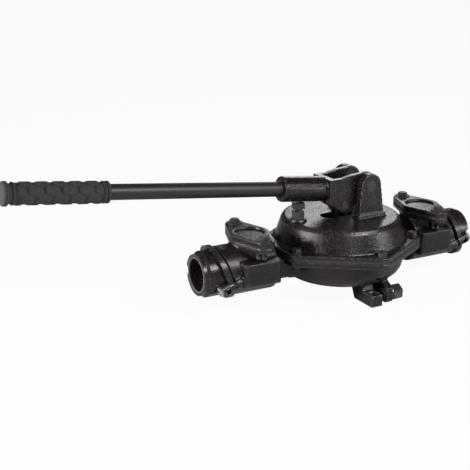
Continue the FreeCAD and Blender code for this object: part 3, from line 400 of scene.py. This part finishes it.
@dataclass(frozen=True)
class Rubber:
    """Moulded or sheet rubber, matte, with a fine skin, patches of pale dust, and edges and crests lightened in
    the dust colour as wear and painted highlight.
    """

    name: str
    colour: Colour = (0.0105, 0.0078, 0.0070)
    dust: Colour = (0.038, 0.032, 0.030)
    roughness: float = 0.40

    def build(self) -> bpy.types.Material:
        """Build the material.

        Returns:
            The material.
        """
        material, board, shader = start_material(self.name)
        place = board.node("ShaderNodeTexCoord").outputs["Object"]
        skin = board.noise(place, 1300.0, 3.0, 0.6)
        cloud = board.noise(place, 46.0, 4.0, 0.62)
        ridge = board.node("ShaderNodeNewGeometry").outputs["Pointiness"]
        edge_lightening = board.node("ShaderNodeGroup", {}, node_tree=Groups.get("edge_wear_and_highlight"))
        board.tree.links.new(place, edge_lightening.inputs["Vector"])
        board.tree.links.new(ridge, edge_lightening.inputs["Pointiness"])
        edge_lightening.inputs["Amount"].default_value = 0.5
        colour = board.blend(board.span(cloud, 0.4, 0.75, 0.0, 0.35), rgba(self.colour), rgba(self.dust))
        # Edges and leaf crests take the dust colour, partly as rubbed wear and partly as painted highlight.
        colour = board.blend(edge_lightening.outputs["Mask"], colour, rgba(self.dust))
        rough = board.span(cloud, 0.3, 0.7, self.roughness - 0.06, self.roughness + 0.08)
        bump = board.node("ShaderNodeBump", {"Height": skin, "Distance": 0.00008, "Strength": 0.6})
        board.tree.links.new(colour, shader.inputs["Base Color"])
        board.tree.links.new(rough, shader.inputs["Roughness"])
        board.tree.links.new(bump.outputs["Normal"], shader.inputs["Normal"])
        return material


def start_material(name: str) -> tuple[bpy.types.Material, Board, bpy.types.Node]:
    """Make an empty material.

    Args:
        name: The material's name.

    Returns:
        The material, its board and its Principled node.
    """
    material = bpy.data.materials.new(name)
    material.use_nodes = True
    board = Board(material.node_tree)
    shader = material.node_tree.nodes["Principled BSDF"]
    return material, board, shader


class Finish(Enum):
    """Every finish on the pump."""

    BODY_CAST = CastCoat("black_sand_casting")
    CONE_CAST = CastCoat("black_bonnet_casting", roughness=0.24, grain=560.0, depth=0.00048,
                         bright=(0.15, 0.135, 0.145), edge=0.35)
    LEVER_CAST = CastCoat("black_lever_casting", roughness=0.17, grain=600.0, depth=0.00034,
                          bright=(0.11, 0.097, 0.10), edge=0.5)
    COVER_CAST = CastCoat("black_cover_casting", roughness=0.28, grain=620.0, depth=0.00022, pits=0.2)
    INLET_CAST = CastCoat("black_inlet_spigot", roughness=0.24, grain=620.0, depth=0.00025,
                          edge=0.2, mouth=(246.3 * MM, 247.3 * MM))
    OUTLET_CAST = CastCoat("black_outlet_spigot", roughness=0.24, grain=620.0, depth=0.00025,
                           edge=0.2, mouth=(229.3 * MM, 230.3 * MM))
    TUBE_PAINT = SmoothCoat("black_tube_paint")
    GRIP = Rubber("grip_rubber")
    SHEET = Rubber("sheet_rubber", colour=(0.014, 0.0137, 0.0135), roughness=0.62)
    BLACK_STEEL = BareMetal("blackened_steel", (0.019, 0.0155, 0.0145), (0.010, 0.0082, 0.0076), 0.17, 0.4, 0.9)
    ZINC = BareMetal("bright_zinc", (0.62, 0.61, 0.60), (0.36, 0.355, 0.35), 0.22, 1.0, 0.3)
    OLD_ZINC = BareMetal("worn_zinc", (0.085, 0.080, 0.076), (0.030, 0.028, 0.027), 0.26, 0.85, 0.9)
    ROD_STEEL = BareMetal("oiled_rod_steel", (0.075, 0.066, 0.060), (0.035, 0.030, 0.027), 0.34, 0.8, 0.5)
    BRONZE = BareMetal("machined_bronze", (0.47, 0.31, 0.13), (0.30, 0.19, 0.08), 0.30, 1.0, 0.4)

    def material(self) -> bpy.types.Material:
        """The finish's material, built on first use."""
        found = bpy.data.materials.get(self.value.name)
        return found or self.value.build()


# ---------------------------------------------------------------- mesh tools
def new_piece(name: str, bm: bmesh.types.BMesh, body: str, finish: Finish,
              smooth: float | None) -> bpy.types.Object:
    """Turn a bmesh into a piece that rides on a body.

    Args:
        name: The piece's name.
        bm: The finished bmesh, which is freed.
        body: The CAD body that carries the piece.
        finish: The piece's finish.
        smooth: Angle in degrees under which edges shade smooth, or None for smooth everywhere.

    Returns:
        The piece.
    """
    mesh = bpy.data.meshes.new(name)
    bm.to_mesh(mesh)
    bm.free()
    piece = bpy.data.objects.new(name, mesh)
    bpy.context.scene.collection.objects.link(piece)
    mesh.materials.append(finish.material())
    for polygon in mesh.polygons:
        polygon.use_smooth = True
    if smooth is not None:
        mesh.set_sharp_from_angle(angle=math.radians(smooth))
    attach(piece, body)
    LOG.info("%s: %d faces on %s", name, len(mesh.polygons), body)
    return piece


def placed(origin: Vector, axis: Vector, turn: float = 0.0) -> Matrix:
    """A matrix that stands local Z on an axis.

    Args:
        origin: Where the local origin goes.
        axis: Where local Z points.
        turn: Turn about the axis, in degrees, made first.

    Returns:
        The matrix.
    """
    stand = Vector((0, 0, 1)).rotation_difference(axis.normalized()).to_matrix().to_4x4()
    return Matrix.Translation(origin) @ stand @ Matrix.Rotation(math.radians(turn), 4, "Z")


def spun(bm: bmesh.types.BMesh, profile: list[tuple[float, float]], where: Matrix,
         steps: int) -> list[bmesh.types.BMVert]:
    """Spin a closed or open profile about local Z.

    Args:
        bm: The bmesh to add to.
        profile: Points as (radius, height), in millimetres.
        where: Placement of the local frame.
        steps: Segments round.

    Returns:
        The vertices made.
    """
    before = set(bm.verts)
    verts = [bm.verts.new((radius * MM, 0.0, height * MM)) for radius, height in profile]
    edges = [bm.edges.new(pair) for pair in zip(verts, verts[1:])]
    bmesh.ops.spin(bm, geom=verts + edges, cent=(0, 0, 0), axis=(0, 0, 1), angle=2 * math.pi,
                   steps=steps, use_merge=True)
    made = [v for v in bm.verts if v not in before]
    bmesh.ops.remove_doubles(bm, verts=made, dist=1e-6)
    made = [v for v in bm.verts if v not in before]
    faces = list({face for v in made for face in v.link_faces})
    bmesh.ops.recalc_face_normals(bm, faces=faces)
    bmesh.ops.transform(bm, matrix=where, verts=made)
    return made


def hex_block(bm: bmesh.types.BMesh, across: float, height: float, where: Matrix, crown: float) -> None:
    """Add a hexagon head or nut whose corners are turned down on top.

    Args:
        bm: The bmesh to add to.
        across: Width across flats, in millimetres.
        height: Height, in millimetres.
        where: Placement of its seat.
        crown: Drop of the corners, in millimetres.
    """
    before = set(bm.verts)
    radius = across / math.sqrt(3.0) * MM
    made = bmesh.ops.create_circle(bm, cap_ends=True, segments=6, radius=radius)["verts"]
    bmesh.ops.rotate(bm, cent=(0, 0, 0), matrix=Matrix.Rotation(math.radians(90.0), 3, "Z"), verts=made)
    base = list({face for v in made for face in v.link_faces})
    raised = bmesh.ops.extrude_face_region(bm, geom=base)
    top_verts = [g for g in raised["geom"] if isinstance(g, bmesh.types.BMVert)]
    top_faces = [g for g in raised["geom"] if isinstance(g, bmesh.types.BMFace)]
    bmesh.ops.translate(bm, vec=(0, 0, (height - crown) * MM), verts=top_verts)
    bmesh.ops.inset_region(bm, faces=top_faces, thickness=across * 0.075 * MM, depth=0.0)
    lifted = list({v for face in top_faces for v in face.verts})
    bmesh.ops.translate(bm, vec=(0, 0, crown * MM), verts=lifted)
    verts = [v for v in bm.verts if v not in before]
    faces = list({face for v in verts for face in v.link_faces})
    bmesh.ops.recalc_face_normals(bm, faces=faces)
    bmesh.ops.transform(bm, matrix=where, verts=verts)


def threaded(bm: bmesh.types.BMesh, size: Thread, low: float, high: float, where: Matrix) -> None:
    """Add a threaded shank.

    Args:
        bm: The bmesh to add to.
        size: The thread's sizes.
        low: Where it starts along local Z, in millimetres.
        high: Where it ends.
        where: Placement of the local frame.
    """
    lead = 0.4
    core = size.radius - 0.6
    root = size.radius - 0.55
    turns = max(1, int((high - low - 2 * lead) / size.pitch))
    profile = [(0.0, low), (core, low)]
    for i in range(turns):
        profile.append((size.radius, low + lead + (i + 0.35) * size.pitch))
        profile.append((root, low + lead + (i + 0.9) * size.pitch))
    profile += [(core, high), (0.0, high)]
    spun(bm, profile, where, 20)


def cast_copy(node: bpy.types.Object, voxel: float, rounds: int, lumps: float,
              seed: float) -> bmesh.types.BMesh:
    """A casting's copy of a CAD node, with soft edges, filled corners and a slightly uneven skin.

    Args:
        node: The CAD node.
        voxel: Grid size of the skin, in millimetres.
        rounds: How many times the skin is eased.
        lumps: Height of the unevenness, in millimetres.
        seed: Shift of the unevenness.

    Returns:
        The finished bmesh.
    """
    bm = bmesh.new()
    bm.from_mesh(node.data)
    bmesh.ops.remove_doubles(bm, verts=bm.verts, dist=1e-6)
    rough = bpy.data.meshes.new(node.name + "_rough")
    bm.to_mesh(rough)
    bm.free()
    shaped = bpy.data.objects.new(node.name + "_rough", rough)
    bpy.context.scene.collection.objects.link(shaped)
    remesh = shaped.modifiers.new("skin", "REMESH")
    remesh.mode = "VOXEL"
    remesh.voxel_size = voxel * MM
    ease = shaped.modifiers.new("ease", "SMOOTH")
    ease.factor = 0.5
    ease.iterations = rounds
    bpy.context.view_layer.update()
    graph = bpy.context.evaluated_depsgraph_get()
    result = bmesh.new()
    result.from_mesh(bpy.data.meshes.new_from_object(shaped.evaluated_get(graph)))
    bpy.data.objects.remove(shaped)
    result.normal_update()
    shift = Vector((seed, seed * 0.7, -seed))
    for vert in result.verts:
        broad = noise.noise(vert.co * 70.0 + shift)
        wave = broad * 0.6 + noise.noise(vert.co * 260.0 + shift) * 0.4
        vert.co += vert.normal * (min(wave, 0.0) * lumps * MM)
        vert.co.z = max(vert.co.z, 0.0)
    return result


# ---------------------------------------------------------------- sub-assemblies
@dataclass
class Castings:
    """The body, bonnet, lever and covers with cast edges and skins."""

    nodes: dict[str, bpy.types.Object]
    lumps: float = 0.10

    def build(self) -> list[bpy.types.Object]:
        """Build every casting.

        Returns:
            The pieces.
        """
        plan = (
            ("pump_body", 1.6, 1, "root", Finish.BODY_CAST, "body_casting"),
            ("bonnet", 1.25, 1, "root", Finish.CONE_CAST, "bonnet_casting"),
            ("lever_casting", 0.9, 2, "lever", Finish.LEVER_CAST, "lever_forging"),
            ("inlet_valve_cover", 0.8, 2, "root", Finish.COVER_CAST, "inlet_cover_plate"),
            ("outlet_valve_cover", 0.8, 2, "root", Finish.COVER_CAST, "outlet_cover_plate"),
        )
        pieces = []
        for index, (node, voxel, rounds, body, finish, name) in enumerate(plan):
            bm = cast_copy(self.nodes[node], voxel, rounds, self.lumps, 3.1 * index)
            piece = new_piece(name, bm, body, finish, None)
            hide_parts(node)
            pieces.append(piece)
        return pieces


@dataclass
class FlangeHardware:
    """The six through-bolts of the main flange with their nuts."""

    circle: float = 112.0
    angles: tuple[float, ...] = (30.0, 90.0, 158.0, 202.0, 270.0, 330.0)
    head_turn: float = 30.0
    head_z: float = 88.6
    seat_z: float = 68.5
    shank_low: float = 59.0

    def spots(self) -> list[tuple[Vector, float]]:
        """The place of each bolt's axis and its turn."""
        found = []
        for angle in self.angles:
            turn = math.radians(angle)
            place = Vector((self.circle * math.cos(turn), self.circle * math.sin(turn), 0.0)) * MM
            found.append((place, angle))
        return found

    def build(self) -> list[bpy.types.Object]:
        """Build the bolts and the nuts.

        Returns:
            The pieces.
        """
        bolts = bmesh.new()
        nuts = bmesh.new()
        for place, angle in self.spots():
            turn = angle + self.head_turn
            hex_block(bolts, M8.flats, M8.head, placed(place + UP * self.head_z * MM, UP, turn), M8.crown)
            threaded(bolts, M8, self.shank_low, self.head_z + HEAD_SINK, placed(place, UP))
            hex_block(nuts, M8.flats, M8.nut, placed(place + UP * self.seat_z * MM, DOWN, turn), M8.crown)
        made = [new_piece("flange_bolt_set", bolts, "root", Finish.BLACK_STEEL, HARDWARE_ANGLE),
                new_piece("flange_nut_set", nuts, "root", Finish.BLACK_STEEL, HARDWARE_ANGLE)]
        for piece, node in zip(made, ("flange_bolts", "flange_nuts")):
            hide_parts(node)
        return made


@dataclass
class CoverHardware:
    """The four bolts of the valve covers."""

    inlet_x: float = -161.0
    outlet_x: float = 153.0
    span: float = 46.0
    head_z: float = 119.3
    shank_low: float = 88.0

    def build(self) -> bpy.types.Object:
        """Build the bolts.

        Returns:
            The piece.
        """
        bolts = bmesh.new()
        for x in (self.inlet_x, self.outlet_x):
            for end in (-1.0, 1.0):
                place = Vector((x, end * self.span, 0.0)) * MM
                seat = placed(place + UP * self.head_z * MM, UP, 10.0 + 17.0 * end)
                hex_block(bolts, M8.flats, M8.head, seat, M8.crown)
                threaded(bolts, M8, self.shank_low, self.head_z + HEAD_SINK, placed(place, UP))
        piece = new_piece("cover_bolt_set", bolts, "root", Finish.BLACK_STEEL, HARDWARE_ANGLE)
        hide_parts("cover_bolts")
        return piece


@dataclass
class PortHardware:
    """The two bolts of each slanted port joint."""

    joints: tuple[tuple[str, float, float], ...] = (("inlet", -1.0, -207.0), ("outlet", 1.0, 199.0))
    tilt: float = 17.0
    head_turn: float = 12.0
    circle: float = 36.5
    angle: float = -18.0
    seat: float = 21.5
    depth: float = 12.0

    def build(self) -> list[bpy.types.Object]:
        """Build the bolts of both ports.

        Returns:
            The pieces.
        """
        pieces = []
        lean = math.radians(self.tilt)
        for name, side, x in self.joints:
            normal = Vector((side * math.cos(lean), 0.0, side * math.sin(lean)))
            rising = Vector((-normal.z, 0.0, normal.x)) * side
            bolts = bmesh.new()
            for angle in (self.angle, self.angle + 180.0):
                turn = math.radians(angle)
                place = Vector((x, 0.0, PORT_AXIS_Z)) + Vector((0.0, -self.circle * math.cos(turn), 0.0))
                place = (place + rising * self.circle * math.sin(turn)) * MM
                seat = placed(place + normal * self.seat * MM, normal, self.head_turn)
                hex_block(bolts, M8.flats, M8.head, seat, M8.crown)
                threaded(bolts, M8, -self.depth, self.seat + HEAD_SINK, placed(place, normal))
            piece = new_piece(name + "_joint_bolt_set", bolts, "root", Finish.ZINC, HARDWARE_ANGLE)
            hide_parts(name + "_port_bolts")
            pieces.append(piece)
        return pieces


@dataclass
class StopHardware:
    """The stop bolt under the socket and its lock nut."""

    x: float = -77.0
    seat: float = 126.0
    shank_low: float = 105.0
    bolt_turn: float = 14.0
    nut_turn: float = 4.0

    def build(self) -> None:
        """Build the bolt and its nut."""
        head_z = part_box("stop_bolt")[1].z / MM - M12.head
        foot = Vector((self.x * MM, 0.0, 0.0))
        bolt, nut = bmesh.new(), bmesh.new()
        hex_block(bolt, M12.flats, M12.head, placed(foot + UP * head_z * MM, UP, self.bolt_turn), M12.crown)
        threaded(bolt, M12, self.shank_low, head_z + HEAD_SINK, placed(foot, UP))
        hex_block(nut, M12.flats, M12.nut, placed(foot + UP * self.seat * MM, UP, self.nut_turn), M12.crown)
        plan = ((bolt, "lever_stop_bolt", "stop_bolt"), (nut, "lever_stop_nut", "stop_lock_nut"))
        for bm, name, node in plan:
            piece = new_piece(name, bm, "root", Finish.BLACK_STEEL, HARDWARE_ANGLE)
            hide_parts(node)


@dataclass
class ClampScrew:
    """The broad-headed screw of the front foot's jaw."""

    start: float = 26.0
    jaw: float = 12.0
    stand: float = 3.0
    head: float = 16.0
    flats: float = 22.0
    crown: float = 1.8
    y: float = -82.0
    z: float = 12.0

    def build(self) -> bpy.types.Object:
        """Build the screw.

        Returns:
            The piece.
        """
        foot = Vector((self.start, self.y, self.z)) * MM
        screw = bmesh.new()
        threaded(screw, M12, 0.0, self.jaw + HEAD_SINK, placed(foot, ALONG))
        collar = [(0.0, self.jaw), (self.flats * 0.49, self.jaw), (self.flats * 0.5, self.jaw + 0.5)]
        collar += [(self.flats * 0.5, self.jaw + self.stand), (0.0, self.jaw + self.stand)]
        spun(screw, collar, placed(foot, ALONG), 40)
        seat = placed(foot + ALONG * (self.jaw + self.stand) * MM, ALONG)
        hex_block(screw, self.flats, self.head, seat, self.crown)
        piece = new_piece("clamp_screw", screw, "root", Finish.OLD_ZINC, HARDWARE_ANGLE)
        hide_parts("foot_clamp_screw")
        return piece


@dataclass
class Grip:
    """The rubber grip with rows of raised leaves, an end flange and rings."""

    start: float = 381.5
    end: float = 528.5
    axis_z: float = 162.5
    rise: float = 6.65
    bore: float = 11.2
    body_r: float = 15.7
    groove: float = 2.9
    leaf_low: float = 12.5
    leaf_high: float = 127.5
    leaves: int = 5
    rows: int = 6
    turns: int = 120

    def where(self) -> Matrix:
        """The placement of the grip's inner end, with local Z towards its free end."""
        rise = math.radians(self.rise)
        axis = Vector((-math.cos(rise), 0.0, math.sin(rise)))
        return placed(Vector((0, 0, self.axis_z * MM)) + axis * self.start * MM, axis)

    def profile(self) -> list[tuple[float, float]]:
        """The grip's outline as (radius, distance) in millimetres."""
        length = self.end - self.start
        points = [(self.bore, 0.0), (14.6, 0.0), (15.3, 0.6), (15.4, 2.0), (15.3, 3.6), (14.4, 4.3), (13.7, 5.0)]
        points += [(14.4, 5.7), (15.3, 6.3), (15.4, 7.6), (15.2, 9.0), (14.4, 9.8), (13.9, 10.6)]
        steps = 96
        for i in range(steps + 1):
            points.append((self.body_r, self.leaf_low + (self.leaf_high - self.leaf_low) * i / steps))
        points += [(14.0, length - 17.6), (13.8, length - 17.0), (15.0, length - 16.4), (15.4, length - 15.4)]
        points += [(15.4, length - 14.2), (14.9, length - 13.3), (13.8, length - 12.6), (13.5, length - 11.0)]
        points += [(13.6, length - 9.0), (14.6, length - 8.3), (16.2, length - 7.4), (16.6, length - 6.2)]
        points += [(16.6, length - 3.4), (16.1, length - 1.6), (14.8, length - 0.5), (12.4, length), (0.0, length)]
        return points

    def leaf_height(self, angle: float, along: float) -> float:
        """How proud the relief stands at a place, from 0 in a groove to 1 on a leaf.

        Args:
            angle: Angle about the grip, in radians.
            along: Distance from the grip's inner end, in millimetres.

        Returns:
            The height.
        """
        pitch = (self.leaf_high - self.leaf_low) / self.leaves
        row = angle / (2.0 * math.pi) * self.rows
        best = 0.0
        for index in (math.floor(row), math.floor(row) + 1):
            across = (row - index) * 1.15
            shift = 0.5 if index % 2 else 0.0
            down = (along - self.leaf_low) / pitch + shift
            leaf = down - math.floor(down)
            bulge = 1.0 - (2.0 * leaf - 1.0) ** 2 - (across * 1.25) ** 2 * 1.1
            best = max(best, min(1.0, max(0.0, bulge) * 1.5))
        return best ** 0.7

    def build(self) -> bpy.types.Object:
        """Build the grip.

        Returns:
            The piece.
        """
        bm = bmesh.new()
        verts = spun(bm, self.profile(), Matrix.Identity(4), self.turns)
        for vert in verts:
            along = vert.co.z / MM
            radius = math.hypot(vert.co.x, vert.co.y)
            if self.leaf_low - 0.1 < along < self.leaf_high + 0.1 and radius > 15.0 * MM:
                angle = math.atan2(vert.co.y, vert.co.x) % (2.0 * math.pi)
                sink = (1.0 - self.leaf_height(angle, along)) * self.groove * MM
                vert.co.x *= (radius - sink) / radius
                vert.co.y *= (radius - sink) / radius
        bmesh.ops.transform(bm, matrix=self.where(), verts=verts)
        piece = new_piece("leaf_grip", bm, "lever", Finish.GRIP, GRIP_ANGLE)
        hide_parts("handle_grip")
        return piece


@dataclass
class Dressing:
    """Finishes for the CAD nodes that keep their own mesh."""

    nodes: dict[str, bpy.types.Object]

    def apply(self) -> None:
        """Give every visible CAD node its finish."""
        plan: dict[Finish, tuple[str, ...]] = {
            Finish.TUBE_PAINT: ("handle_tube",),
            Finish.INLET_CAST: ("inlet_port_spigot",),
            Finish.OUTLET_CAST: ("outlet_port_spigot",),
            Finish.SHEET: ("diaphragm", "inlet_cover_gasket", "outlet_cover_gasket", "inlet_port_seal",
                           "outlet_port_seal", "inlet_flap", "outlet_flap"),
            Finish.BRONZE: ("inlet_valve_seat", "outlet_valve_seat", "inlet_flap_plate", "outlet_flap_plate",
                            "inlet_flap_screw", "outlet_flap_screw", "inlet_flap_pin", "outlet_flap_pin"),
            Finish.ZINC: ("inlet_port_bolts", "outlet_port_bolts"),
            Finish.OLD_ZINC: ("foot_clamp_screw", "upper_plate", "lower_plate", "rod_nut"),
            Finish.ROD_STEEL: ("diaphragm_rod",),
        }
        chosen = {node: finish for finish, names in plan.items() for node in names}
        for name, node in self.nodes.items():
            node.data.materials.clear()
            node.data.materials.append(chosen.get(name, Finish.BLACK_STEEL).material())


# ---------------------------------------------------------------- studio
@dataclass
class Studio:
    """Pale floor, white surround, soft lamps and the camera."""

    camera_at: tuple[float, float, float] = (-0.8375, -1.2278, 0.5754)
    camera_turn: tuple[float, float, float] = (71.7, 0.0, -28.0)
    lens: float = 76.6

    def build(self) -> None:
        """Build the whole studio."""
        bpy.context.scene.view_settings.view_transform = "Standard"
        self.world()
        self.floor()
        self.lamp("front_softbox", (-0.37, -1.58, 0.56), (0.0, 0.0, 0.08), (0.30, 0.30), 1.0)
        self.lamp("high_softbox", (0.30, -1.35, 1.18), (-0.20, 0.0, 0.18), (0.90, 0.08), 27.0)
        self.lamp("right_softbox", (1.27, -1.24, 0.40), (0.04, -0.09, 0.105), (0.35, 0.35), 7.5)
        self.lamp("left_softbox", (-1.74, 0.07, 0.47), (-0.08, -0.03, 0.105), (0.36, 0.36), 38.0)
        self.lamp("back_softbox", (0.90, 1.28, 0.72), (0.0, 0.0, 0.12), (0.50, 0.50), 3.4)
        self.camera()

    def lamp(self, name: str, place: tuple, aim: tuple, size: tuple[float, float], power: float) -> None:
        """Add a rectangular area lamp.

        Args:
            name: The lamp's name.
            place: Where it stands.
            aim: The point it faces.
            size: Its width and height.
            power: Its power, in watts.
        """
        light = bpy.data.lights.new(name, "AREA")
        light.shape = "RECTANGLE"
        light.size, light.size_y = size
        light.energy = power
        lamp = bpy.data.objects.new(name, light)
        lamp.location = place
        lamp.rotation_euler = (Vector(aim) - Vector(place)).to_track_quat("-Z", "Y").to_euler()
        bpy.context.scene.collection.objects.link(lamp)

    def world(self) -> None:
        """Light the surround softly and show it white to the camera and through glass; reflections see it only
        dim.
        """
        world = bpy.data.worlds.new("white_surround")
        bpy.context.scene.world = world
        world.use_nodes = True
        board = Board(world.node_tree)
        backdrop = world.node_tree.nodes["Background"]
        path = board.node("ShaderNodeLightPath").outputs
        seen = board.maths("MAXIMUM", path["Is Camera Ray"], path["Is Transmission Ray"])
        seen = board.maths("MAXIMUM", seen, board.maths("MULTIPLY", path["Is Glossy Ray"], 0.07))
        strength = board.maths("MAXIMUM", seen, 0.06)
        backdrop.inputs["Color"].default_value = (1.0, 1.0, 1.0, 1.0)
        board.tree.links.new(strength, backdrop.inputs["Strength"])

    def floor(self) -> None:
        """Lay the pale floor."""
        bm = bmesh.new()
        bmesh.ops.create_grid(bm, x_segments=1, y_segments=1, size=6.0)
        mesh = bpy.data.meshes.new("studio_floor")
        bm.to_mesh(mesh)
        bm.free()
        floor = bpy.data.objects.new("studio_floor", mesh)
        floor.location = (0.0, 0.0, -0.0005)
        bpy.context.scene.collection.objects.link(floor)
        material, board, shader = start_material("pale_floor")
        shader.inputs["Base Color"].default_value = (0.55, 0.55, 0.55, 1.0)
        shader.inputs["Roughness"].default_value = 0.9
        shader.inputs["Specular IOR Level"].default_value = 0.0
        path = board.node("ShaderNodeLightPath").outputs
        glow = board.node("ShaderNodeEmission", {"Color": (1.0, 1.0, 1.0, 1.0), "Strength": 1.0})
        seen = board.maths("MAXIMUM", path["Is Camera Ray"], path["Is Transmission Ray"])
        mix = board.node("ShaderNodeMixShader", {0: board.maths("MULTIPLY", seen, 0.95),
                                                 1: shader.outputs[0], 2: glow.outputs[0]})
        leave = material.node_tree.nodes["Material Output"]
        board.tree.links.new(mix.outputs[0], leave.inputs["Surface"])
        mesh.materials.append(material)

    def camera(self) -> None:
        """Stand the camera."""
        data = bpy.data.cameras.new("view_camera")
        data.lens = self.lens
        data.sensor_width = 36.0
        camera = bpy.data.objects.new("view_camera", data)
        camera.location = self.camera_at
        camera.rotation_euler = tuple(math.radians(angle) for angle in self.camera_turn)
        bpy.context.scene.collection.objects.link(camera)
        bpy.context.scene.camera = camera


def main() -> None:
    """Build the looks of the pump and its studio."""
    logging.basicConfig(level=logging.INFO, format="%(name)s %(message)s")
    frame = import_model()
    nodes = frame["nodes"]
    Dressing(nodes).apply()
    Castings(nodes).build()
    FlangeHardware().build()
    CoverHardware().build()
    PortHardware().build()
    StopHardware().build()
    ClampScrew().build()
    Grip().build()
    Studio().build()
    bpy.context.view_layer.update()


if __name__ == "__main__":
    main()
